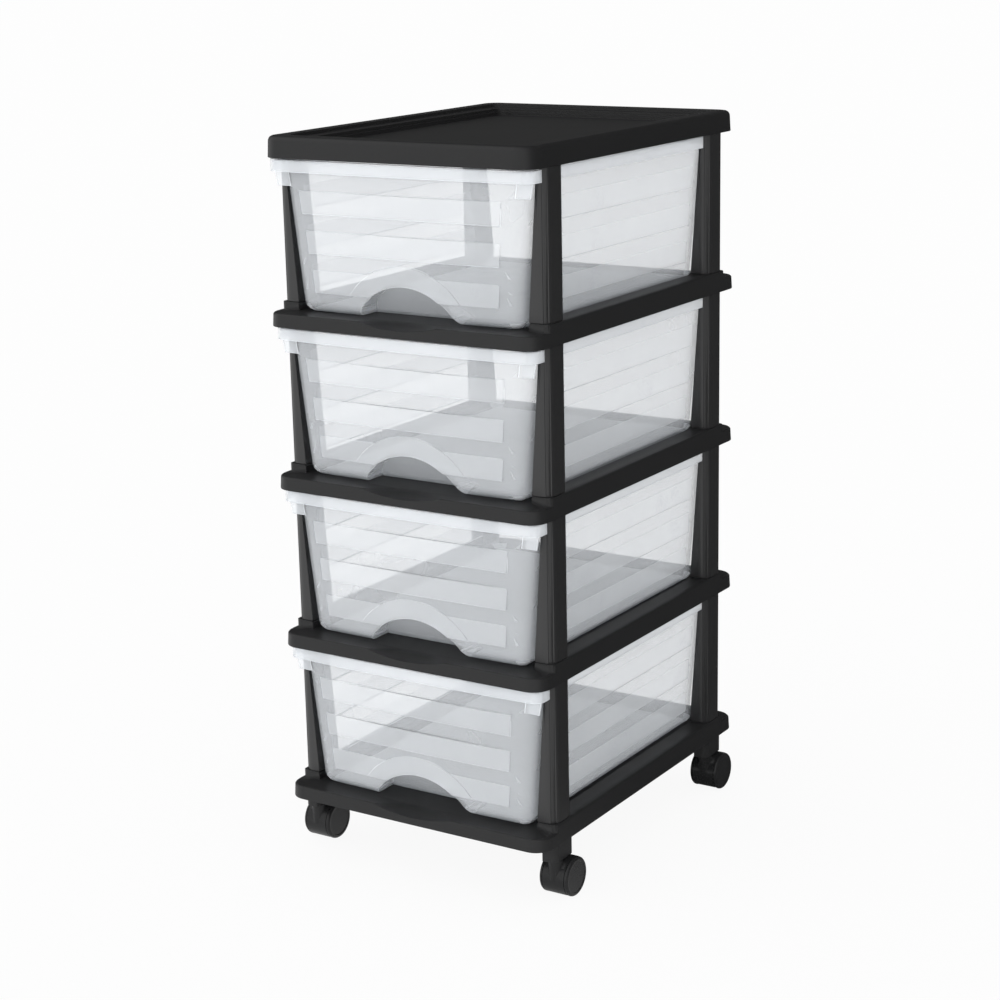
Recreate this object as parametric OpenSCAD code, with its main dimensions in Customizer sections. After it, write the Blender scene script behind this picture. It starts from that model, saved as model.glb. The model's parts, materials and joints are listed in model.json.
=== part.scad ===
// Four-drawer storage tower on swivelling twin-wheel casters, in millimetres.
// The origin is on the floor under the middle of the tower. The drawers open
// toward -Y and +Z is up. Left and right are as seen by someone facing the drawers.

/* [Tower] */
// Width of a shelf at its underside
shelf_w = 290; // [260:1:340]
// Depth of a shelf from its front edge to its rear edge
shelf_d = 386; // [340:1:440]
// Radius of a shelf's four upright corners
corner_r = 18; // [14:1:22]
// Number of drawers, one above the other
drawer_count = 4; // [1:1:5]
// Height from one shelf to the next
tier_pitch = 153.7; // [140:0.1:190]

/* [Shelf] */
// Height of the plate that a drawer slides on
plate_h = 12.6; // [11:0.1:15]
// Height of the two side rails that guide a drawer
rail_h = 20; // [18:0.5:26]
// Width of a side rail at the shelf's underside
rail_w = 21.2; // [20:0.1:26]
// How far a side leans in over the height of a rail
side_lean = 1.2; // [0.4:0.1:2]
// Distance from the front edge to the rails and the front posts
rail_front = 24.5; // [22:0.5:32]
// Distance from the rear edge to the rails and the rear posts
rail_rear = 27.5; // [22:0.5:36]
// Size of the bevel along the upper edges of plate and rails
edge_bevel = 1.2; // [0.6:0.1:1.8]
// Thickness of the plate above the hollow underside
skin_t = 3; // [2:0.1:4]
// Thickness of the side walls around the hollow underside
skirt_t = 3; // [2:0.1:4]
// Thickness of the ribs under a shelf
rib_t = 2; // [1.2:0.1:3]
// Hollows across the underside
cells_across = 4; // [3:1:6]
// Hollows from front to back of the underside
cells_deep = 6; // [4:1:9]
// Length of the finger scoop along a shelf's front edge
scoop_w = 90; // [60:1:120]
// How far the finger scoop reaches back from the front edge
scoop_reach = 19; // [12:0.5:22]
// How far the finger scoop drops down the front face
scoop_drop = 5.8; // [4:0.1:8]

/* [Posts] */
// Size of a post from front to back
post_d = 34; // [30:0.5:44]
// How far a post's inner face leans out between the height of a drawer's foot and its rim
post_lean = 10; // [6:0.1:11]
// How far a post's outer face stands in from the shelf's underside edge
post_inset = 2; // [1.5:0.1:4]
// Radius of a post's two outer upright corners
post_r = 7; // [3:0.5:8]
// Bevel around a post's foot, which leaves a groove above the rail
foot_bevel = 0.8; // [0.3:0.1:1.2]
// Width of the tenon under a post's foot
foot_tenon_w = 9; // [6:0.5:10]
// Length of the tenons from front to back
tenon_l = 24; // [16:0.5:26]
// Depth of the tenon under a post's foot
foot_tenon_h = 9; // [5:0.5:10]
// Thickness of the tenon on top of a post
top_tenon_t = 2.6; // [2:0.1:3]
// Height of the tenon on top of a post
top_tenon_h = 6; // [3:0.5:7]
// Clearance around each tenon
tenon_gap = 0.15; // [0.05:0.05:0.3]

/* [Drawers] */
// How far a drawer's walls lean out between its foot and its rim
wall_lean = 13; // [10:0.1:14]
// Thickness of a drawer's walls
wall_t = 2; // [1.5:0.1:2.6]
// Thickness of a drawer's floor
floor_t = 2; // [1.5:0.1:3]
// Radius of a drawer's upright corners at its foot
drawer_r = 12; // [11:0.5:16]
// Radius of the rounding around a drawer's foot
foot_r = 10; // [6:0.5:10.5]
// Gap between a drawer's floor and the plate under it
slide_gap = 0.3; // [0.2:0.05:0.6]
// Gap between a drawer's foot and a side rail
side_gap = 5.9; // [5.2:0.1:7]
// Gap between a drawer's rim and the shelf above it
top_gap = 1.3; // [0.8:0.1:3]
// Radius of the shallow bow of a drawer's front
bow_r = 2790; // [2300:10:4600]

/* [Drawer rim] */
// Distance from a shelf's front edge back to the rim
rim_setback = 2.5; // [1:0.5:5]
// How far the rim stands out over the front wall
rim_front = 3; // [2:0.1:5]
// How far the rim stands out over the side and rear walls
rim_side = 5.6; // [4:0.1:7]
// Height of the rim's turned-down edge
rim_h = 11; // [8:0.5:14]
// Thickness of the rim
rim_t = 1.6; // [1.2:0.1:2]
// Gap between the rim and the notch in a post
rim_gap = 0.7; // [0.4:0.1:1.5]
// How far the ends of the front bar stand in from the posts' outer faces
bar_inset = 3.3; // [2:0.1:5]
// Gap between the front bar and the posts behind it
bar_gap = 0.5; // [0.4:0.1:2]
// Radius of the rim's front corners
rim_r = 10; // [6:0.5:14]
// Thickness of the two gussets under the ends of the front bar
gusset_t = 2; // [1.5:0.1:3]
// Height of the gussets
gusset_h = 13.4; // [8:0.1:18]
// How far the gussets end short of the front bar's ends
gusset_inset = 3; // [2:0.1:5]
// How much narrower a gusset is at its lower edge
gusset_taper = 2.4; // [1:0.1:4]
// Distance from the front bar's back edge to the gussets
gusset_back = 8; // [6:0.5:12]

/* [Drawer louvres] */
// Number of raised bands up each wall
band_count = 3; // [1:1:3]
// Height of a raised band
band_h = 20.7; // [14:0.1:24]
// Height from one band to the next
band_pitch = 36.1; // [30:0.1:40]
// Height of the lowest band above the drawer's foot
band_start = 19; // [14:0.5:22]
// How far a band's lower edge stands out
band_proud = 1.6; // [0.8:0.1:2]
// How far a band's upper edge stands out
band_flush = 0.3; // [0.2:0.05:0.6]
// Distance from a side wall to the ends of the front bands
band_end = 21.5; // [18:0.5:40]
// Distance from the front and rear walls to the ends of the side bands
side_band_end = 26; // [20:0.5:40]

/* [Finger opening] */
// Width of the arched opening at the drawer's foot
arch_w = 107.4; // [80:0.2:130]
// Height of the arched opening
arch_h = 31; // [24:0.5:34]
// Height of the raised arch above the opening's crown
arch_band = 18.5; // [12:0.5:22]
// Radius of the raised arch
arch_band_r = 73; // [66:0.5:90]
// How far back the opening's sloping rear wall reaches
arch_depth = 30; // [24:0.5:40]

/* [Lid] */
// How far the lid's sides stand in from a shelf's underside edge
lid_inset = 2.2; // [1.6:0.1:3]
// How far the lid's front and rear stand in from a shelf's edges
lid_end_inset = 0.7; // [0.2:0.1:3]
// Height of the lid
lid_h = 19.5; // [17:0.5:26]
// How far the lid's sides lean in below the rounding
lid_lean = 0.8; // [0.2:0.1:1.5]
// Radius of the rounding around the lid's upper edge
lid_edge_r = 5; // [3:0.5:6]
// Width of the rim around the tray in the lid
tray_rim = 18; // [14:0.5:24]
// Width of the ledge inside the rim
tray_ledge = 13.5; // [8:0.5:20]
// Width of the small step below the ledge
tray_step = 3; // [2:0.5:6]
// Depth from the rim to the ledge
ledge_drop = 3; // [2:0.1:4]
// Depth from the ledge to the small step
step_drop = 3; // [2:0.1:3.5]
// Depth from the small step to the tray's floor
floor_drop = 3.6; // [2:0.1:4]

/* [Casters] */
// Height of the block between the lowest shelf and a caster
block_h = 17.6; // [14:0.1:22]
// How far a block's inner face stands out from the rail's inner face
block_set = 4.7; // [3:0.1:5]
// Diameter of the stem that a caster turns on
stem_dia = 7; // [5:0.1:7.4]
// Depth of the stem in its block
stem_grip = 12; // [8:0.5:13]
// Depth of the stem in the caster's housing
stem_reach = 12; // [8:0.5:16]
// Distance from the block's outer face to the stem's middle
stem_inset = 7.5; // [6.5:0.1:8]
// How far the stem stands forward of the post's middle
stem_lead = 4.5; // [0:0.5:6]
// Distance from the stem back to the axle
trail = 12.5; // [8:0.5:14]
// Diameter of the housing's neck
neck_dia = 14; // [11:0.5:16]
// Thickness of the collar on the stem under the block
collar_t = 0.9; // [0.6:0.1:1]
// Gap between the block and the top of the hood
hood_gap = 1.5; // [1.4:0.1:3]
// Diameter of the wheels
wheel_dia = 37.5; // [36:0.5:46]
// Overall width of the pair of wheels
wheels_w = 30; // [28:0.5:36]
// Radius of the rounding around a wheel's outer edge
wheel_edge_r = 2.4; // [1:0.1:3]
// Width of the outer tread that shows beside the hood
tread_w = 3; // [3:0.1:4]
// How far the tread stands out from the hub under the hood
tread_step = 1.8; // [1.2:0.1:2.2]
// Thickness of the hood over the wheels
hood_t = 1.5; // [1.2:0.1:2]
// Thickness of the housing's web between the wheels
web_t = 10; // [9.4:0.2:12]
// Gap around the wheels under the hood
wheel_gap = 0.5; // [0.4:0.1:1]
// Angle of the hood's front edge below the axle
hood_front = 52; // [30:1:60]
// Angle of the hood's rear edge above the axle
hood_rear = 30; // [10:1:50]
// Diameter of the axle
axle_dia = 4; // [3:0.1:5]
// Running clearance between a pin and the hole it turns in
pin_gap = 0.05; // [0.02:0.01:0.1]

/* [Hidden] */
$fn = 96;
// Step of the corner pieces inside the flat walls, and how far the flat walls run past them
seam = 0.02;
lap = 0.4;
CORNERS = [["front_left", -1, -1], ["front_right", 1, -1], ["rear_left", -1, 1], ["rear_right", 1, 1]];
CASTER_PIECES = ["block", "stem", "housing", "axle", "wheel_outer", "wheel_inner"];

// Shelf: the inner faces of its rails and the lean of its sides
rail_x = shelf_w / 2 - rail_w;
lean_per_mm = side_lean / rail_h;
rail_y0 = -shelf_d / 2 + rail_front;
rail_y1 = shelf_d / 2 - rail_rear;
scoop_y = (pow(scoop_w / 2, 2) - pow(scoop_reach, 2)) / (2 * scoop_reach);
scoop_z = (pow(scoop_w / 2, 2) - pow(scoop_drop, 2)) / (2 * scoop_drop);
scoop_r = sqrt(pow(scoop_w / 2, 2) + pow(scoop_y, 2) + pow(scoop_z, 2));
cell_margin = scoop_reach - 3;

// Drawer: everything is measured in the frame of the shelf that it stands on
foot_z = plate_h + slide_gap;
rim_z1 = tier_pitch - top_gap;
rim_z0 = rim_z1 - rim_h;
drawer_h = rim_z1 - foot_z;
slope = wall_lean / drawer_h;
foot_x = rail_x - side_gap;
rim_y0 = -shelf_d / 2 + rim_setback;
foot_y0 = rim_y0 + rim_front + wall_lean;
rim_x = foot_x + wall_lean + rim_side;
rim_y1 = rail_y1 + rim_side;
foot_y1 = rail_y1 - wall_lean;

// Post: its outer face, the notch for the rim and the places of its tenons
post_slope = post_lean / drawer_h;
post_x = shelf_w / 2 - post_inset;
notch_x = rim_x + rim_gap;
notch_z = rim_z0 - 0.5;
bar_x = post_x - bar_inset;
bar_y1 = rail_y0 - bar_gap;
foot_tenon_x = (rail_x + post_x) / 2;
top_tenon_x = (notch_x + post_x) / 2;

// Bow of the drawer front: one large circle about a point far behind the tower
bow_y = foot_y0 + bow_r;
bow_back = 60;

// Finger opening: the arch's centre lies below the drawer's foot
arch_r = (pow(arch_w / 2, 2) + pow(arch_h, 2)) / (2 * arch_h);
arch_z = foot_z + arch_h - arch_r;
arch_band_z = foot_z + arch_h + arch_band - arch_band_r;

// Lid
lid_w = shelf_w - 2 * lid_inset;
lid_d = shelf_d - 2 * lid_end_inset;
tray_z = lid_h - ledge_drop - step_drop - floor_drop;

// Casters: the lowest shelf stands on the wheels, the hoods' clearance and the blocks
wheel_r = wheel_dia / 2;
hub_r = wheel_r - tread_step;
hood_in = hub_r + wheel_gap;
hood_out = hood_in + hood_t;
caster_h = wheel_r + hood_out + hood_gap + block_h;
hood_w = wheels_w - 2 * tread_w - 2 * wheel_gap;
hub_x = web_t / 2 + wheel_gap;
stem_x = post_x - stem_inset;
axle_l = wheels_w - 5;

// Where a corner's middle lies that is x to the side and reach from the middle of the bow
function corner_y(x, reach) = bow_y - sqrt(pow(reach, 2) - pow(x, 2));

// Middle of a post, a front one for a side of -1 and a rear one for a side of 1
function post_y(side) = side < 0 ? rail_y0 + post_d / 2 : rail_y1 - post_d / 2;

// Rounding of radius r at the foot of a wall, as [inset, height] points
function foot_round(r, steps) =
    [for (i = [0:steps]) [r * (1 - sin(i * 90 / steps)), r * (1 - cos(i * 90 / steps))]];

// Wall profile of a drawer as [inset, height] points, moved up by lift
function drawer_profile(r, lift, h) = concat(
    [for (p = foot_round(r, 4)) [p[0] - p[1] * slope, foot_z + lift + p[1]]],
    [[-h * slope, foot_z + lift + h]]
);

// Mirrors something made for +X when side is -1
module sided(side) mirror([side < 0 ? 1 : 0, 0, 0]) children();

// Block with upright corners of radius r, its sides following [inset, height] points
module profiled_block(w, d, r, profile) {
    last = len(profile) - 1;
    rotate([90, 0, 0]) linear_extrude(d - 2 * r, center = true) polygon(concat(
        [for (p = profile) [w / 2 - p[0], p[1]]],
        [for (i = [last:-1:0]) [profile[i][0] - w / 2, profile[i][1]]]
    ));
    rotate([90, 0, 90]) linear_extrude(w - 2 * r, center = true) polygon(concat(
        [for (p = profile) [d / 2 - p[0], p[1]]],
        [for (i = [last:-1:0]) [profile[i][0] - d / 2, profile[i][1]]]
    ));
    for (sx = [-1, 1]) for (sy = [-1, 1])
        translate([sx * (w / 2 - r), sy * (d / 2 - r), 0]) rotate_extrude() polygon(concat(
            [[0, profile[0][1]]],
            [for (p = profile) [r - p[0] - seam, p[1]]],
            [[0, profile[last][1]]]
        ));
}

// Upright plate with rounded corners, from z = z0 to z = z1
module rounded_plate(x0, x1, y0, y1, r, z0, z1) {
    translate([x0 + r, y0, z0]) cube([x1 - x0 - 2 * r, y1 - y0, z1 - z0]);
    translate([x0, y0 + r, z0]) cube([x1 - x0, y1 - y0 - 2 * r, z1 - z0]);
    for (x = [x0 + r, x1 - r]) for (y = [y0 + r, y1 - r])
        translate([x, y, z0]) cylinder(h = z1 - z0, r = r);
}

// Ring about the middle of the bow, revolved from an outline of [inset, height] points
module bowed_ring(outline) translate([0, bow_y, 0])
    rotate_extrude($fn = 1440) polygon([for (p = outline) [bow_r - p[0], p[1]]]);

// Slice of that ring at a drawer's front, x to each side
module bowed_slice(x, outline) intersection() {
    bowed_ring(outline);
    translate([-x, -shelf_d, 0]) cube([2 * x, shelf_d, tier_pitch]);
}

// Side walls of a shelf up to height h, with a bevel along the top
module shelf_block(h) {
    b = edge_bevel;
    lean = lean_per_mm * h;
    profiled_block(shelf_w, shelf_d, corner_r, [[0, 0], [lean - lean_per_mm * b, h - b], [lean + b, h]]);
}

// One side rail at +X, with its two outer ends rounded like the posts
module rail() {
    intersection() {
        shelf_block(rail_h);
        rotate([90, 0, 0]) translate([0, 0, -rail_y1]) linear_extrude(rail_y1 - rail_y0) polygon([
            [rail_x, 1], [shelf_w, 1], [shelf_w, rail_h + 1], [rail_x + edge_bevel, rail_h + 1],
            [rail_x + edge_bevel, rail_h], [rail_x, rail_h - edge_bevel]
        ]);
        rounded_plate(rail_x - 3 * post_r, shelf_w / 2, rail_y0, rail_y1, post_r, 0, rail_h + 1);
    }
}

// Slots under a shelf or lid for the tenons on top of the posts
module top_tenon_slots() {
    w = top_tenon_t + 2 * tenon_gap;
    l = tenon_l + 2 * tenon_gap;
    for (c = CORNERS)
        translate([c[1] * top_tenon_x - w / 2, post_y(c[2]) - l / 2, -1])
            cube([w, l, top_tenon_h + tenon_gap + 1]);
}

// Hollows under a shelf or lid, up to height h
module underside_cells(h) {
    x0 = -rail_x + skirt_t;
    y0 = -shelf_d / 2 + cell_margin;
    w = (-2 * x0 - (cells_across - 1) * rib_t) / cells_across;
    l = (-2 * y0 - (cells_deep - 1) * rib_t) / cells_deep;
    for (i = [0:cells_across - 1]) for (j = [0:cells_deep - 1])
        translate([x0 + i * (w + rib_t), y0 + j * (l + rib_t), -1]) cube([w, l, h + 1]);
}

module shelf() color("#26272a") difference() {
    w = foot_tenon_w + 2 * tenon_gap;
    l = tenon_l + 2 * tenon_gap;
    gap_y0 = rail_y0 + post_d + skirt_t;
    gap_y1 = rail_y1 - post_d - skirt_t;
    n = cells_deep - 2;
    cell_w = post_x - rail_x - 2 * skirt_t;
    cell_l = (gap_y1 - gap_y0 - (n - 1) * rib_t) / n;
    union() {
        shelf_block(plate_h);
        rail();
        mirror([1, 0, 0]) rail();
    }
    // finger scoop
    translate([0, -shelf_d / 2 - scoop_y, plate_h + scoop_z]) sphere(r = scoop_r, $fn = 180);
    // hollows under the plate and under the rails
    underside_cells(plate_h - skin_t);
    for (side = [-1, 1]) sided(side) for (j = [0:n - 1])
        translate([rail_x + skirt_t, gap_y0 + j * (cell_l + rib_t), -2])
            cube([cell_w, cell_l, rail_h - skin_t + 2]);
    // sockets for the feet of the posts above and the tops of the posts below
    for (c = CORNERS)
        translate([c[1] * foot_tenon_x - w / 2, post_y(c[2]) - l / 2, rail_h - foot_tenon_h - tenon_gap])
            cube([w, l, foot_tenon_h + 1]);
    top_tenon_slots();
}

// Post at +X, in the frame of the shelf that it stands on, with y = 0 at its middle
module post() color("#2c2d30") {
    e = post_d / 2;
    f = foot_bevel;
    intersection() {
        rotate([90, 0, 0]) linear_extrude(post_d, center = true) polygon([
            [rail_x + f, rail_h], [post_x - f, rail_h], [post_x, rail_h + f], [post_x, tier_pitch],
            [notch_x, tier_pitch], [notch_x, notch_z],
            [rail_x + (notch_z - rail_h) * post_slope, notch_z], [rail_x + f * post_slope, rail_h + f]
        ]);
        rotate([90, 0, 90]) linear_extrude(shelf_w) polygon([
            [-e + f, rail_h], [e - f, rail_h], [e, rail_h + f],
            [e, tier_pitch + 1], [-e, tier_pitch + 1], [-e, rail_h + f]
        ]);
        rounded_plate(rail_x - 3 * post_r, post_x, -e, e, post_r, 0, tier_pitch + 1);
    }
    translate([foot_tenon_x - foot_tenon_w / 2, -tenon_l / 2, rail_h - foot_tenon_h])
        cube([foot_tenon_w, tenon_l, foot_tenon_h + 1]);
    translate([top_tenon_x - top_tenon_t / 2, -tenon_l / 2, tier_pitch - 1])
        cube([top_tenon_t, tenon_l, top_tenon_h + 1]);
}

// Section through a drawer's wall and floor, as [inset, height] points.
// The floor ends at the inset back, and the wall's faces are set in by thin.
function wall_section(back, thin) = let (
    outer = drawer_profile(foot_r, 0, drawer_h),
    inner = drawer_profile(foot_r - wall_t, floor_t, drawer_h - floor_t)
) concat(
    [[back, foot_z]],
    [for (p = outer) [p[0] + thin, p[1]]],
    [for (i = [len(inner) - 1:-1:0]) [inner[i][0] + wall_t - thin, inner[i][1]]],
    [[back, foot_z + floor_t]]
);

// Walls and floor of a drawer: two sides, a rear, a bowed front and four corners
module drawer_shell() {
    x = foot_x - drawer_r;
    y0 = corner_y(x, bow_r - drawer_r);
    y1 = foot_y1 - drawer_r;
    half = wall_section(foot_x, 0);
    translate([0, y1 + lap, 0]) rotate([90, 0, 0]) linear_extrude(y1 - y0 + 2 * lap) polygon(concat(
        [for (i = [1:len(half) - 2]) [foot_x - half[i][0], half[i][1]]],
        [for (i = [len(half) - 2:-1:1]) [half[i][0] - foot_x, half[i][1]]]
    ));
    rotate([90, 0, 90]) linear_extrude(2 * (x + lap), center = true)
        polygon([for (p = wall_section(bow_back, 0)) [foot_y1 - p[0], p[1]]]);
    bowed_slice(x + lap, wall_section(bow_back, 0));
    for (c = CORNERS)
        translate([c[1] * x, c[2] < 0 ? y0 : y1, 0]) rotate([0, 0, atan2(c[2], c[1]) - 45])
            rotate_extrude(angle = 90)
                polygon([for (p = wall_section(drawer_r, seam)) [drawer_r - p[0], p[1]]]);
}

// Outline of the rim as a solid, its edge set in by t
module rim_block(t, z0, z1) {
    out = wall_lean + rim_front;
    x = bar_x - rim_r;
    y = corner_y(x, bow_r + out - rim_r);
    h = z1 - z0;
    rounded_plate(-rim_x + t, rim_x - t, rim_y0 + rim_r, rim_y1 - t, rim_r - t, z0, z1);
    translate([-bar_x + t, y, z0]) cube([2 * (bar_x - t), bar_y1 - t - y, h]);
    for (side = [-1, 1]) translate([side * x, y, z0]) cylinder(h = h, r = rim_r - t - seam);
    bowed_slice(x + lap, [[bow_back, z0], [t - out, z0], [t - out, z1], [bow_back, z1]]);
}

// Upright space inside the rim, its edge in the middle of the walls' thickness
module rim_opening() {
    out = (rim_z1 - rim_t / 2 - foot_z) * slope - wall_t / 2;
    x = foot_x - drawer_r;
    y0 = corner_y(x, bow_r - drawer_r);
    y1 = foot_y1 - drawer_r;
    z0 = rim_z0 - 1;
    z1 = rim_z1 + 1;
    translate([-foot_x - out, y0 - lap, z0]) cube([2 * (foot_x + out), y1 - y0 + 2 * lap, z1 - z0]);
    translate([-x - lap, y0 + 1, z0]) cube([2 * (x + lap), foot_y1 + out - y0 - 1, z1 - z0]);
    bowed_slice(x + lap, [[bow_back, z0], [-out, z0], [-out, z1], [bow_back, z1]]);
    for (sx = [-1, 1]) for (y = [y0, y1])
        translate([sx * x, y, z0]) cylinder(h = z1 - z0, r = drawer_r + out - seam);
}

// Rim: a flat top with its edge turned down, wider where the front bar covers the posts
module drawer_rim() difference() {
    rim_block(0, rim_z0, rim_z1);
    rim_block(rim_t, rim_z0 - 1, rim_z1 - rim_t);
    rim_opening();
}

// Ring that stands out from the bowed front between two heights
module front_wedge(z0, z1, proud0, proud1) {
    o0 = (z0 - foot_z) * slope;
    o1 = (z1 - foot_z) * slope;
    bowed_ring([
        [wall_t / 2 - o0, z0], [-o0 - proud0, z0], [-o1 - proud1, z1], [wall_t / 2 - o1, z1]
    ]);
}

// Raised bands on the front and on both sides
module drawer_bands() for (i = [0:band_count - 1]) {
    z0 = foot_z + band_start + i * band_pitch;
    z1 = z0 + band_h;
    x0 = foot_x + (z0 - foot_z) * slope;
    x1 = foot_x + (z1 - foot_z) * slope;
    intersection() {
        front_wedge(z0, z1, band_proud, band_flush);
        rotate([90, 0, 0]) linear_extrude(shelf_d, center = true) polygon([
            [-x0 + band_end, z0], [x0 - band_end, z0], [x1 - band_end, z1], [-x1 + band_end, z1]
        ]);
    }
    for (side = [-1, 1]) sided(side)
        translate([0, foot_y1 - side_band_end, 0]) rotate([90, 0, 0])
            linear_extrude(foot_y1 - foot_y0 - 2 * side_band_end) polygon([
                [x0 - wall_t / 2, z0], [x0 + band_proud, z0],
                [x1 + band_flush, z1], [x1 - wall_t / 2, z1]
            ]);
}

// Raised arch over the finger opening
module drawer_arch() {
    z0 = foot_z + band_start;
    z1 = foot_z + arch_h + arch_band;
    rise = (band_proud - band_flush) / band_h;
    intersection() {
        front_wedge(z0, z1, band_flush + (z1 - z0) * rise, band_flush);
        translate([0, 0, arch_band_z]) rotate([90, 0, 0]) cylinder(h = shelf_d, r = arch_band_r);
    }
}

// Space of the finger opening, its wall set out by t
module finger_space(t) {
    k = arch_depth / arch_h;
    y = foot_y0 + arch_depth + t * sqrt(1 + k * k);
    intersection() {
        translate([0, 0, arch_z]) rotate([90, 0, 0]) cylinder(h = shelf_d, r = arch_r + t);
        rotate([90, 0, 90]) linear_extrude(shelf_w, center = true) polygon([
            [-shelf_d, foot_z - 10], [y + 10 * k, foot_z - 10],
            [y - (arch_h + 20) * k, foot_z + arch_h + 20], [-shelf_d, foot_z + arch_h + 20]
        ]);
    }
}

// Gusset under the end of the front bar at +X, out of the middle of the corner's wall
module drawer_gusset() {
    x = foot_x - drawer_r;
    y = bar_y1 - gusset_back - gusset_t / 2 - corner_y(x, bow_r - drawer_r);
    x1 = bar_x - gusset_inset;
    z0 = rim_z0 - gusset_h;
    z1 = rim_z1 - rim_t / 2;
    function wall_x(z) = x + sqrt(pow(drawer_r + (z - foot_z) * slope - wall_t / 2, 2) - pow(y, 2));
    translate([0, bar_y1 - gusset_back, 0]) rotate([90, 0, 0]) linear_extrude(gusset_t)
        polygon([[wall_x(z0), z0], [x1 - gusset_taper, z0], [x1, rim_z0], [x1, z1], [wall_x(z1), z1]]);
}

module drawer() color([0.86, 0.88, 0.9, 0.6]) difference() {
    pad_h = arch_h + arch_band;
    union() {
        drawer_shell();
        drawer_rim();
        drawer_bands();
        drawer_arch();
        for (side = [-1, 1]) sided(side) drawer_gusset();
        // sloping rear wall of the finger opening
        intersection() {
            finger_space(wall_t);
            bowed_ring(concat(
                [[bow_back, foot_z + floor_t / 2]],
                [for (p = drawer_profile(foot_r - wall_t / 2, floor_t / 2, pad_h))
                    [p[0] + wall_t / 2, p[1]]],
                [[bow_back, foot_z + floor_t / 2 + pad_h]]
            ));
        }
    }
    finger_space(0);
}

// Lid: sides with a rounded upper edge, a stepped tray on top and a hollow underside
module lid() color("#1f2022") {
    r = lid_edge_r;
    z = lid_h - r;
    a = tray_rim + tray_ledge;
    b = a + tray_step;
    profile = concat([[0, 0]],
        [for (i = [0:5]) [lid_lean + r * (1 - cos(i * 18)), z + r * sin(i * 18)]]);
    difference() {
        profiled_block(lid_w, lid_d, corner_r, profile);
        rounded_plate(-lid_w / 2 + tray_rim, lid_w / 2 - tray_rim, -lid_d / 2 + tray_rim,
            lid_d / 2 - tray_rim, corner_r / 2, lid_h - ledge_drop, lid_h + 1);
        rounded_plate(-lid_w / 2 + a, lid_w / 2 - a, -lid_d / 2 + a,
            lid_d / 2 - a, corner_r / 2, lid_h - ledge_drop - step_drop, lid_h + 1);
        rounded_plate(-lid_w / 2 + b, lid_w / 2 - b, -lid_d / 2 + b,
            lid_d / 2 - b, corner_r / 2, tray_z, lid_h + 1);
        underside_cells(tray_z - skin_t);
        top_tenon_slots();
    }
}

// Block between the lowest shelf and a caster at +X, with y = 0 at the post's middle
module caster_block() color("#2c2d30") difference() {
    z = caster_h - block_h - 1;
    union() {
        intersection() {
            translate([rail_x + block_set, -post_d / 2, caster_h - block_h])
                cube([post_x - rail_x - block_set, post_d, block_h]);
            rounded_plate(rail_x - 3 * post_r, post_x, -post_d / 2, post_d / 2, post_r, z, caster_h + 1);
        }
        translate([top_tenon_x - top_tenon_t / 2, -tenon_l / 2, caster_h - 1])
            cube([top_tenon_t, tenon_l, top_tenon_h + 1]);
    }
    translate([stem_x, -stem_lead, z]) cylinder(h = stem_grip + 1.2, d = stem_dia + 2 * pin_gap);
}

// Stem, its collar against the underside of the block
module caster_stem() color("#a7a9ac") translate([0, 0, caster_h - block_h]) {
    translate([0, 0, -stem_reach]) cylinder(h = stem_reach + stem_grip, d = stem_dia);
    translate([0, 0, -collar_t]) cylinder(h = collar_t, d = stem_dia + 3);
}

// Housing: a web between the wheels, a hood over them and a neck around the stem
module caster_housing() color("#202124") {
    top = caster_h - block_h - collar_t - 0.3;
    difference() {
        union() {
            intersection() {
                translate([-hood_w / 2, trail, wheel_r]) rotate([0, 90, 0])
                    cylinder(h = hood_w, r = hood_out);
                translate([0, trail, wheel_r]) rotate([90, 0, -90])
                    linear_extrude(2 * wheels_w, center = true) polygon(concat([[0, 0]], [
                        for (i = [0:4]) let (a = -hood_front + i * (180 - hood_rear + hood_front) / 4)
                            [2 * wheel_dia * cos(a), 2 * wheel_dia * sin(a)]
                    ]));
            }
            translate([-web_t / 2, trail, wheel_r]) rotate([0, 90, 0])
                cylinder(h = web_t, r = axle_dia + 3);
            translate([0, 0, wheel_r]) cylinder(h = top - wheel_r, d = neck_dia);
        }
        for (side = [-1, 1])
            translate([side * (web_t / 2 + wheels_w / 2), trail, wheel_r]) rotate([0, 90, 0])
                cylinder(h = wheels_w, r = hood_in, center = true);
        translate([0, 0, top - stem_reach + collar_t])
            cylinder(h = stem_reach + 1, d = stem_dia + 2 * pin_gap);
        translate([-wheels_w / 2, trail, wheel_r]) rotate([0, 90, 0])
            cylinder(h = wheels_w, d = axle_dia);
    }
}

// Axle, held in the web
module caster_axle() color("#a7a9ac")
    translate([-axle_l / 2, trail, wheel_r]) rotate([0, 90, 0]) cylinder(h = axle_l, d = axle_dia);

// Wheel on the +X end of the axle
module caster_wheel() color("#18191b") {
    w = wheels_w / 2;
    r = wheel_edge_r;
    bore = axle_dia / 2 + pin_gap;
    end = axle_l / 2 + 0.3;
    translate([0, trail, wheel_r]) rotate([0, 90, 0]) rotate_extrude() polygon(concat(
        [[bore, hub_x], [hub_r - 0.8, hub_x], [hub_r, hub_x + 0.8], [hub_r, w - tread_w],
            [wheel_r, w - tread_w]],
        [for (i = [0:4]) [wheel_r - r * (1 - cos(i * 22.5)), w - r * (1 - sin(i * 22.5))]],
        [[wheel_r - r - 1.2, w], [wheel_r - r - 1.6, w - 0.5], [0, w - 0.5], [0, end], [bore, end]]
    ));
}

// Places one caster piece under a corner
module at_caster(c) translate([c[1] * stem_x, post_y(c[2]) - stem_lead, 0]) children();

// Places something on the shelf of tier t
module at_tier(t) translate([0, 0, caster_h + (t - 1) * tier_pitch]) children();

at_tier(drawer_count + 1) lid();

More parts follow.
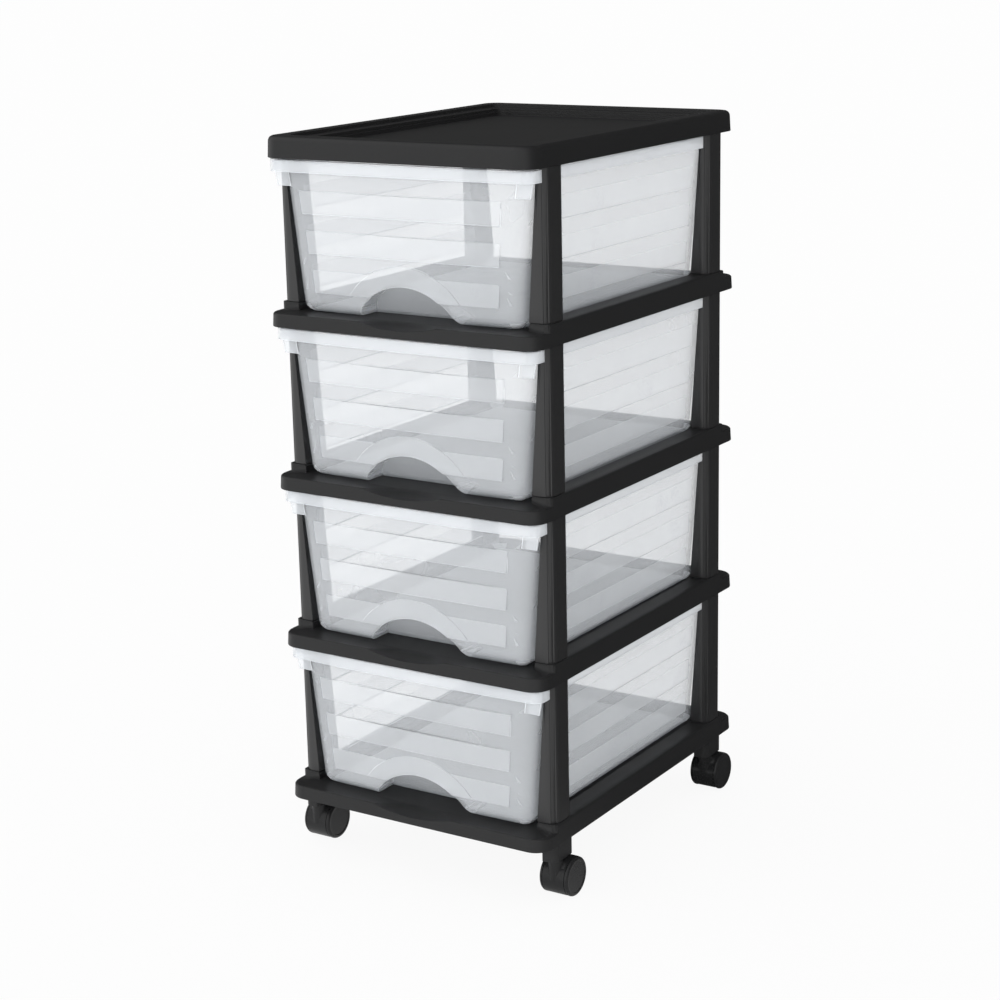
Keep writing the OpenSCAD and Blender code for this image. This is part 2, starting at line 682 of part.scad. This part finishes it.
for (t = [1:drawer_count]) {
    at_tier(t) shelf();
    at_tier(t) drawer();
    for (c = CORNERS)
        at_tier(t) translate([0, post_y(c[2]), 0]) sided(c[1]) post();
}

for (c = CORNERS) {
    name = str("caster_", c[0], "_");
    translate([0, post_y(c[2]), 0]) sided(c[1]) caster_block();
    at_caster(c) caster_stem();
    at_caster(c) caster_housing();
    at_caster(c) caster_axle();
    at_caster(c) sided(c[1]) caster_wheel();
    at_caster(c) sided(-c[1]) caster_wheel();
}
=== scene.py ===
import json
import math

import bmesh
import bpy
from mathutils import Matrix, Vector

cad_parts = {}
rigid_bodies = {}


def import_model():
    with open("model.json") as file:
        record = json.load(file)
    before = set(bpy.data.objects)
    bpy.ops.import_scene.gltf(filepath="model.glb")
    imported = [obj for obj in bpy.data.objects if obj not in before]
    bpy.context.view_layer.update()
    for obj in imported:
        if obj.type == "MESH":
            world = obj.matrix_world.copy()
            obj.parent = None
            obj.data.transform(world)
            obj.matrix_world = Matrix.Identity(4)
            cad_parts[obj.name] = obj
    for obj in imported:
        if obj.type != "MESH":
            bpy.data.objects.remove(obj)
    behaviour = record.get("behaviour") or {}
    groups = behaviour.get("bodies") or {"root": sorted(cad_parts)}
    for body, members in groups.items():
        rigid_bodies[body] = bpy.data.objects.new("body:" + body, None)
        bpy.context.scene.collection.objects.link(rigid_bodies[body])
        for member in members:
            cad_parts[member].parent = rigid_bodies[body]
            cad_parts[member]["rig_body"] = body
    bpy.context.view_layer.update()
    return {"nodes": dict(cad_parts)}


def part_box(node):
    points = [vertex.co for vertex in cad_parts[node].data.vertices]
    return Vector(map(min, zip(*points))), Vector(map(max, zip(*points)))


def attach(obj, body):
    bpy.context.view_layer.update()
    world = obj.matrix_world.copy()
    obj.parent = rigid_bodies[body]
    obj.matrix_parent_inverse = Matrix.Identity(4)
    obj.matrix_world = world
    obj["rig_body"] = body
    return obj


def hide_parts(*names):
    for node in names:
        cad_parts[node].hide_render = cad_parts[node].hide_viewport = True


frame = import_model()


# --- The view -------------------------------------------------------------------------
# A standing viewer looks down on the tower from the front right, through a long lens.
# The tower stands on a white studio floor that runs on past the view.
scene = bpy.context.scene
scene.view_settings.view_transform = "Standard"

AIM = Vector((-0.01709, 0.00033, 0.32400))
AZIMUTH, ELEVATION, ROLL = (math.radians(angle) for angle in (32.589, 14.751, -1.199))
DISTANCE = 2.1711
LENS = 79.766
SENSOR_WIDTH = 36
NEAREST, FARTHEST = 0.1, 100

back = Vector((
    math.sin(AZIMUTH) * math.cos(ELEVATION),
    -math.cos(AZIMUTH) * math.cos(ELEVATION),
    math.sin(ELEVATION),
))
camera = bpy.data.objects.new("camera", bpy.data.cameras.new("camera"))
scene.collection.objects.link(camera)
turn = back.to_track_quat("Z", "Y").to_matrix().to_4x4() @ Matrix.Rotation(ROLL, 4, "Z")
camera.matrix_world = Matrix.Translation(AIM + back * DISTANCE) @ turn
camera.data.lens = LENS
camera.data.sensor_width = SENSOR_WIDTH
camera.data.clip_start, camera.data.clip_end = NEAREST, FARTHEST
scene.camera = camera


class Shade:
    """A shader socket. Arithmetic on it adds Math nodes, and node() adds any other kind."""

    def __init__(self, tree, socket=None):
        self.tree, self.socket = tree, socket

    def node(self, kind, inputs=(), output=0, **settings):
        made = self.tree.nodes.new("ShaderNode" + kind)
        for name, value in settings.items():
            setattr(made, name, value)
        for name, value in dict(inputs).items():
            if isinstance(value, Shade):
                self.tree.links.new(value.socket, made.inputs[name])
            else:
                made.inputs[name].default_value = value
        return Shade(self.tree, made.outputs[output] if made.outputs else None)

    def maths(self, operation, first, second):
        return self.node("Math", {0: first, 1: second}, operation=operation)

    def __add__(self, other):
        return self.maths("ADD", self, other)

    def __sub__(self, other):
        return self.maths("SUBTRACT", self, other)

    def __rsub__(self, other):
        return self.maths("SUBTRACT", other, self)

    def __mul__(self, other):
        return self.maths("MULTIPLY", self, other)

    __radd__ = __add__
    __rmul__ = __mul__


def finish_called(name):
    """A new material, and a Shade to build its nodes with."""
    material = bpy.data.materials.new(name)
    material.use_nodes = True
    material.node_tree.nodes.clear()
    return material, Shade(material.node_tree)


def surface(shade, shader):
    """Makes a shader the material's surface."""
    shade.node("OutputMaterial", {"Surface": shader})


def ramp(value, start, end, low, high):
    """Goes smoothly from low to high as value goes from start to end."""
    return value.node("MapRange", {
        "Value": value, "From Min": start, "From Max": end, "To Min": low, "To Max": high,
    }, interpolation_type="SMOOTHSTEP")


def toward_box(shade, place):
    """How far a place or direction lies toward the soft box."""
    return shade.node(
        "VectorMath", {0: place, 1: BOX_DIRECTION}, output="Value", operation="DOT_PRODUCT"
    )


def seen_or_passed(shade):
    """1 for what is seen directly, through a see-through drawer or through glass."""
    return shade.maths(
        "MAXIMUM",
        shade.node("LightPath", output="Is Camera Ray"),
        shade.node("LightPath", output="Is Transmission Ray"),
    )


# The sky is white where it is seen. It lights the tower like a wide soft box low at the
# front left, and less from overhead. Glossy faces mirror white in front and the dim end
# of the studio behind. The two edges are cosines to the box, and OVERHEAD is one upward.
WHITE = (1, 1, 1, 1)
BOX_DIRECTION = (-0.352, -0.905, 0.151)
BOX_EDGE = (-0.2, 0.9)
SKY_LOW, SKY_HIGH = 1.35, 2.4
OVERHEAD = (0.1, 0.7)
OVERHEAD_SHARE = 0.45
MIRROR_EDGE = (-0.25, 0.55)
MIRROR_LOW = 0.05
world = bpy.data.worlds.new("studio")
world.use_nodes = True
world.node_tree.nodes.clear()
scene.world = world
sky = Shade(world.node_tree)
direction = sky.node("TexCoord", output="Generated")
height = sky.node("SeparateXYZ", {0: direction}, output="Z")
boxward = toward_box(sky, direction)
light = ramp(boxward, *BOX_EDGE, SKY_LOW, SKY_HIGH) * ramp(height, *OVERHEAD, 1.0, OVERHEAD_SHARE)
mirrored = ramp(boxward, *MIRROR_EDGE, MIRROR_LOW, 1.0)
unseen = light + sky.node("LightPath", output="Is Glossy Ray") * (mirrored - light)
sky.node("OutputWorld", {"Surface": sky.node("Background", {
    "Color": WHITE, "Strength": unseen + seen_or_passed(sky) * (1 - unseen),
})})

# The floor is a matt sheet. Where it is seen most of it is plain white, and the rest of
# it takes the tower's soft shadow. Glossy faces mirror it white in front and dim behind,
# the change being FLOOR_EDGE metres from the tower's middle.
FLOOR_HALF = 30
FLOOR_GREY = (0.86, 0.86, 0.86, 1)
FLOOR_WHITE = 0.92
FLOOR_EDGE = (-0.2, 0.4)
bm = bmesh.new()
bmesh.ops.create_grid(bm, x_segments=1, y_segments=1, size=FLOOR_HALF)
floor = bpy.data.objects.new("floor", bpy.data.meshes.new("floor"))
bm.to_mesh(floor.data)
bm.free()
scene.collection.objects.link(floor)
floor_finish, paper = finish_called("white_paper")
place = paper.node("TexCoord", output="Object")
mirrored = ramp(toward_box(paper, place), *FLOOR_EDGE, MIRROR_LOW, 1.0)
seen = seen_or_passed(paper)
glossy = paper.node("LightPath", output="Is Glossy Ray")
surface(paper, paper.node("MixShader", {
    0: seen * FLOOR_WHITE + (1 - seen) * glossy,
    1: paper.node("BsdfDiffuse", {"Color": FLOOR_GREY}),
    2: paper.node("Emission", {"Color": WHITE, "Strength": seen + (1 - seen) * mirrored}),
}))
floor.data.materials.append(floor_finish)


# --- Shelves --------------------------------------------------------------------------
# Four black polypropylene trays, injection moulded with rails along both sides and a
# finger scoop in front. The mould is spark-eroded, which leaves a fine satin grain.
TIERS = range(1, 5)
SATIN = 0.3
FLOW_SCALE, SPECKLE_SCALE = 9.0, 420.0
FLOW_SHARE = 0.6
TONE_SWING = 0.2
FLOW_MATT, SPECKLE_MATT = 0.08, 0.04


def grained(shade, coordinates, size, depth):
    """Normal of a finely grained surface, with the grain's size and depth in metres."""
    grain = shade.node("TexNoise", {
        "Vector": coordinates, "Scale": 1 / size, "Detail": 3.0, "Roughness": 0.6,
    })
    return shade.node("Bump", {"Height": grain, "Distance": depth, "Strength": 1.0})


def mixed(shade, factor, first, second):
    """A colour between two others. A Mix node's colour sockets go by number."""
    return shade.node("Mix", {0: factor, 6: first, 7: second}, output=2, data_type="RGBA")


def black_plastic(name, tone, roughness, size, depth, gloss=SATIN):
    """Black plastic of one tone, with faint flow marks in its colour and its gloss."""
    material, shade = finish_called(name)
    coordinates = shade.node("TexCoord", output="Object")
    flow = shade.node("TexNoise", {
        "Vector": coordinates, "Scale": FLOW_SCALE, "Detail": 4.0, "Roughness": 0.55,
    })
    speckle = shade.node("TexNoise", {
        "Vector": coordinates, "Scale": SPECKLE_SCALE, "Detail": 2.0,
    })
    darker, lighter = (
        (*(part * (1 + swing) for part in tone), 1) for swing in (-TONE_SWING, TONE_SWING)
    )
    smoothest = roughness - (FLOW_MATT + SPECKLE_MATT) / 2
    surface(shade, shade.node("BsdfPrincipled", {
        "Base Color": mixed(shade, flow * FLOW_SHARE + speckle * (1 - FLOW_SHARE), darker, lighter),
        "Roughness": smoothest + flow * FLOW_MATT + speckle * SPECKLE_MATT,
        "Specular IOR Level": gloss,
        "Normal": grained(shade, coordinates, size, depth),
    }))
    return material


# Vertices of a CAD mesh that are SAME_POINT metres apart are one, and faces that meet at
# less than FLAT are one face. An edge that turns by more than SHARP is rounded. It is left
# alone where its vertices are crowded, which is where an edge is shorter than CROWDED
# roundings, and beside a face narrower than about SLIVER metres.
SAME_POINT = 0.00004
NO_LENGTH = 0.00001
FLAT, SHARP, CREASE = (math.radians(angle) for angle in (0.6, 25, 32))
CROWDED = 2.5
SLIVER = 0.00012
ROUNDING_SEGMENTS = 2
MOULDED_EDGE = 0.0004


def edges_to_round(bm, radius):
    """The sharp edges that have room for a rounding."""
    crowded = {
        vert for edge in bm.edges if edge.calc_length() < CROWDED * radius for vert in edge.verts
    }
    slivers = {
        face for face in bm.faces
        if face.calc_area() < SLIVER * max(edge.calc_length() for edge in face.edges)
    }
    return [
        edge for edge in bm.edges
        if len(edge.link_faces) == 2 and edge.calc_face_angle() > SHARP
        and crowded.isdisjoint(edge.verts) and slivers.isdisjoint(edge.link_faces)
    ]


# Three face attributes say where frosted plastic is painted whiter to stand for light. They are
# edge, a painted highlight, for roundings that don't look up and for undersides narrower than
# twice NARROW metres, band, painted light, for faces more upright than a drawer's leaning
# walls, and level, painted light, for faces that lie flat. The other numbers are the upward
# part of a face's normal.
NARROW = 0.0009
LOOKS_UP, LOOKS_DOWN = 0.3, -0.5
UPRIGHT = (-0.06, 0.01)
LIES_FLAT = 0.9


def mark_faces(bm, rounded, edge, band, level):
    """Sets the three attributes that mark painted highlights and painted light, rounded being the
    faces of the roundings.
    """
    for face in rounded:
        face[edge] = 1.0 if face.normal.z < LOOKS_UP else 0.0
    for face in bm.faces:
        if face.normal.z < LOOKS_DOWN and face.calc_area() < NARROW * face.calc_perimeter():
            face[edge] = 1.0
        if UPRIGHT[0] < face.normal.z < UPRIGHT[1]:
            face[band] = 1.0
        if abs(face.normal.z) > LIES_FLAT:
            face[level] = 1.0


def softened(node, radius, finish, shaped=None):
    """Stands for a CAD node with a merged copy of it, whose edges are rounded."""
    source = frame["nodes"][node]
    bm = bmesh.new()
    bm.from_mesh(source.data)
    bmesh.ops.remove_doubles(bm, verts=bm.verts, dist=SAME_POINT)
    bmesh.ops.dissolve_degenerate(bm, edges=bm.edges, dist=NO_LENGTH)
    if shaped:
        shaped(bm, node)
    bmesh.ops.dissolve_limit(
        bm, verts=bm.verts, edges=bm.edges, angle_limit=FLAT, use_dissolve_boundaries=False
    )
    attributes = [bm.faces.layers.float.new(name) for name in ("edge", "band", "level")]
    rounded = bmesh.ops.bevel(
        bm, geom=edges_to_round(bm, radius), offset=radius, offset_type="OFFSET",
        segments=ROUNDING_SEGMENTS, profile=0.5, affect="EDGES", clamp_overlap=False, material=-1,
    )["faces"]
    mark_faces(bm, rounded, *attributes)
    bmesh.ops.triangulate(bm, faces=[face for face in bm.faces if len(face.verts) > 4])
    piece = bpy.data.objects.new(node + "_moulding", bpy.data.meshes.new(node + "_moulding"))
    bm.to_mesh(piece.data)
    bm.free()
    piece.data.shade_smooth()
    piece.data.set_sharp_from_angle(angle=CREASE)
    piece.data.materials.append(finish)
    evened = piece.modifiers.new("even_normals", "WEIGHTED_NORMAL")
    evened.keep_sharp = True
    scene.collection.objects.link(piece)
    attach(piece, source["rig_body"])
    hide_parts(node)


shelf_finish = black_plastic(
    "black_shelf", (0.018, 0.0182, 0.0188), roughness=0.42, size=0.0007, depth=0.00002
)
for tier in TIERS:
    softened(f"shelf_{tier}", MOULDED_EDGE, shelf_finish)


# --- Posts ----------------------------------------------------------------------------
# Sixteen black corner posts, each a moulding whose tenons press into the shelves above
# and below. They are glossier than the shelves. FOOT_BEVEL is the small bevel around a
# post's foot, and TENON_IN_SHELF is how far the tenon under the foot reaches down.
CORNERS = ("front_left", "front_right", "rear_left", "rear_right")
POST_ROUNDING = 0.0115
ROUNDING_CUTS = 6
FOOT_BEVEL = 0.0008
TENON_IN_SHELF = 0.009


def outer_corners_rounded(bm, node):
    """Cuts a post along its two outer upright corners, and pulls the cuts onto an arc."""
    low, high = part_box(node)
    side = 1 if "right" in node else -1
    middle_x = (high.x if side > 0 else low.x) - side * POST_ROUNDING
    foot = low.z + TENON_IN_SHELF + FOOT_BEVEL / 2
    for end in (-1, 1):
        middle_y = (high.y if end > 0 else low.y) - end * POST_ROUNDING
        for cut in range(ROUNDING_CUTS):
            reach = POST_ROUNDING * math.sin(math.radians(90 * cut / ROUNDING_CUTS))
            for place, across in (
                ((middle_x + side * reach, 0, 0), (1, 0, 0)),
                ((0, middle_y + end * reach, 0), (0, 1, 0)),
            ):
                bmesh.ops.bisect_plane(
                    bm, geom=bm.verts[:] + bm.edges[:] + bm.faces[:], dist=NO_LENGTH,
                    plane_co=place, plane_no=across,
                )
        for vert in bm.verts:
            out = Vector(((vert.co.x - middle_x) * side, (vert.co.y - middle_y) * end))
            radius = POST_ROUNDING - (FOOT_BEVEL if vert.co.z < foot else 0)
            if min(out) > 0 and out.length > radius:
                out *= radius / out.length
                vert.co.x, vert.co.y = middle_x + side * out.x, middle_y + end * out.y


post_finish = black_plastic(
    "black_post", (0.020, 0.0202, 0.0208), roughness=0.36, size=0.0008, depth=0.00002, gloss=0.6
)
for tier in TIERS:
    for corner in CORNERS:
        softened(
            f"post_{tier}_{corner}", MOULDED_EDGE, post_finish,
            shaped=outer_corners_rounded,
        )


# --- Lid ------------------------------------------------------------------------------
# One black moulding with a stepped tray on top, pressed onto the uppermost posts. It is a
# touch glossier than the shelves, with a slightly coarser grain.
lid_finish = black_plastic(
    "black_lid", (0.016, 0.0162, 0.0168), roughness=0.4, size=0.0008, depth=0.00002
)
softened("lid", MOULDED_EDGE, lid_finish)


# --- Drawers --------------------------------------------------------------------------
# Four frosted clear polypropylene tubs. Each is one thin moulding: walls that lean out,
# a turned-down rim, raised louvre bands and an arched finger opening in the front. MILK
# is how much of what lies behind a plain wall it hides, and the others are added to it.
# CLOUD_MILK varies it at random. The other three make edges, louvre bands and flat faces
# whiter: a painted highlight on the edges, and painted light on the bands and flat faces.
MILK, CLOUD_MILK = 0.22, 0.06
# Painted highlight on the edges, and painted light on the louvre bands and on flat faces.
PAINTED_EDGE_HIGHLIGHT, PAINTED_BAND_LIGHT, PAINTED_FLAT_LIGHT = 0.55, 0.14, 0.45
COOL_WHITE, PALE_WHITE = (0.9, 0.935, 0.975, 1), (0.925, 0.95, 0.98, 1)
FROST_SMOOTHEST, CLOUD_MATT, ETCH_MATT = 0.22, 0.08, 0.06
DRAWER_EDGE = 0.0003

drawer_finish, frost = finish_called("frosted_clear")
coordinates = frost.node("TexCoord", output="Object")
cloud = frost.node("TexNoise", {
    "Vector": coordinates, "Scale": 14.0, "Detail": 3.0, "Roughness": 0.5,
})
etch = frost.node("TexNoise", {"Vector": coordinates, "Scale": 900.0, "Detail": 2.0})
edge, band, level = (
    frost.node("Attribute", output="Fac", attribute_name=name) for name in ("edge", "band", "level")
)
# The cloud's share is random milkiness. The edge, band and level shares are a painted highlight and
# painted light.
milk_and_painted_light = cloud * CLOUD_MILK + edge * PAINTED_EDGE_HIGHLIGHT + band * PAINTED_BAND_LIGHT + level * PAINTED_FLAT_LIGHT
surface(frost, frost.node("BsdfPrincipled", {
    "Base Color": mixed(frost, cloud, COOL_WHITE, PALE_WHITE),
    "Roughness": FROST_SMOOTHEST + cloud * CLOUD_MATT + etch * ETCH_MATT,
    "IOR": 1.45,
    "Alpha": MILK + milk_and_painted_light,
    "Normal": grained(frost, coordinates, size=0.0009, depth=0.00001),
}))
for tier in TIERS:
    softened(f"drawer_{tier}", DRAWER_EDGE, drawer_finish)


# --- Casters --------------------------------------------------------------------------
# Twin-wheel furniture casters: a steel stem in a block under the lowest shelf, a hooded
# black plastic housing that swivels on it, and two wheels that turn on one steel axle.
CASTER_EDGE, STEEL_EDGE = 0.0003, 0.0002
ZINC = (0.62, 0.63, 0.65, 1)
STEEL_SMOOTHEST, BRUSHED_MATT = 0.25, 0.2

block_finish = black_plastic(
    "black_block", (0.02, 0.0202, 0.0208), roughness=0.45, size=0.0007, depth=0.00002
)
hood_finish = black_plastic(
    "black_hood", (0.015, 0.0152, 0.0158), roughness=0.28, size=0.0009, depth=0.00001
)
wheel_finish = black_plastic(
    "black_wheel", (0.017, 0.0172, 0.0178), roughness=0.26, size=0.001, depth=0.00001
)
steel_finish, steel = finish_called("zinc_steel")
coordinates = steel.node("TexCoord", output="Object")
brushed = steel.node("TexNoise", {"Vector": coordinates, "Scale": 600.0, "Detail": 3.0})
surface(steel, steel.node("BsdfPrincipled", {
    "Base Color": ZINC,
    "Metallic": 1.0,
    "Roughness": STEEL_SMOOTHEST + brushed * BRUSHED_MATT,
    "Normal": grained(steel, coordinates, size=0.0006, depth=0.00001),
}))
for corner in CORNERS:
    softened(f"caster_{corner}_block", MOULDED_EDGE, block_finish)
    softened(f"caster_{corner}_housing", CASTER_EDGE, hood_finish)
    softened(f"caster_{corner}_wheel_outer", CASTER_EDGE, wheel_finish)
    softened(f"caster_{corner}_wheel_inner", CASTER_EDGE, wheel_finish)
    softened(f"caster_{corner}_stem", STEEL_EDGE, steel_finish)
    softened(f"caster_{corner}_axle", STEEL_EDGE, steel_finish)
